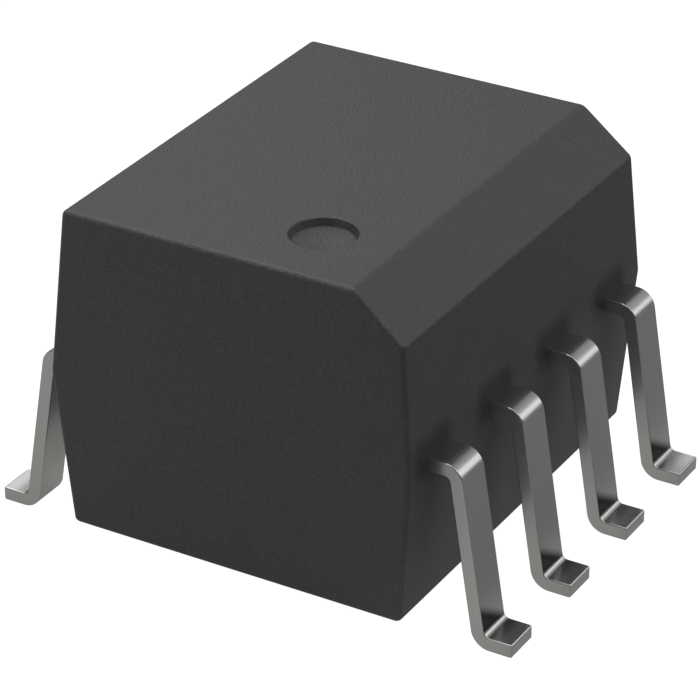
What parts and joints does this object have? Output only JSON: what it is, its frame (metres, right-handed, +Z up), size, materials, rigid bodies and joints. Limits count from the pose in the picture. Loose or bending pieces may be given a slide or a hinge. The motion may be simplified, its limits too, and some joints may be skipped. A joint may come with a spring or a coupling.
{
  "type": "soic chip",
  "caption": "Tall surface-mount chip package: black moulded body with a chamfered long edge and a round dimple, on gull-wing leads, with an emitter and detector inside.",
  "frame": {"origin": "under the middle of the package, in the plane of the feet", "axes": "+Z up from the board, +X towards the row of leads 1 to 4 and the chamfered side, +Y from the end with the dimple to the other end"},
  "size_m": [0.006, 0.005, 0.0038],
  "materials": {
    "black_mould": "fine matt mould texture, charcoal",
    "tin_plate": "satin tin plate",
    "white_mould": "matt",
    "clear_silicone": "clear and glossy",
    "emitter_die": "polished",
    "silicon_die": "polished",
    "silver_adhesive": "matt",
    "gold_wire": "bright"
  },
  "bodies": {
    "root": {"mould_body": "black_mould", "inner_mould": "white_mould", "coupling_gel": "clear_silicone", "led_die": "emitter_die", "led_die_attach": "silver_adhesive", "detector_die": "silicon_die", "detector_die_attach": "silver_adhesive", "lead_1": "tin_plate", "lead_2": "tin_plate", "lead_3": "tin_plate", "lead_4": "tin_plate", "lead_5": "tin_plate", "lead_6": "tin_plate", "lead_7": "tin_plate", "lead_8": "tin_plate", "bond_wire_anode": "gold_wire", "bond_wire_ground": "gold_wire", "bond_wire_output": "gold_wire", "bond_wire_enable": "gold_wire", "bond_wire_supply": "gold_wire"}
  },
  "joints": []
}
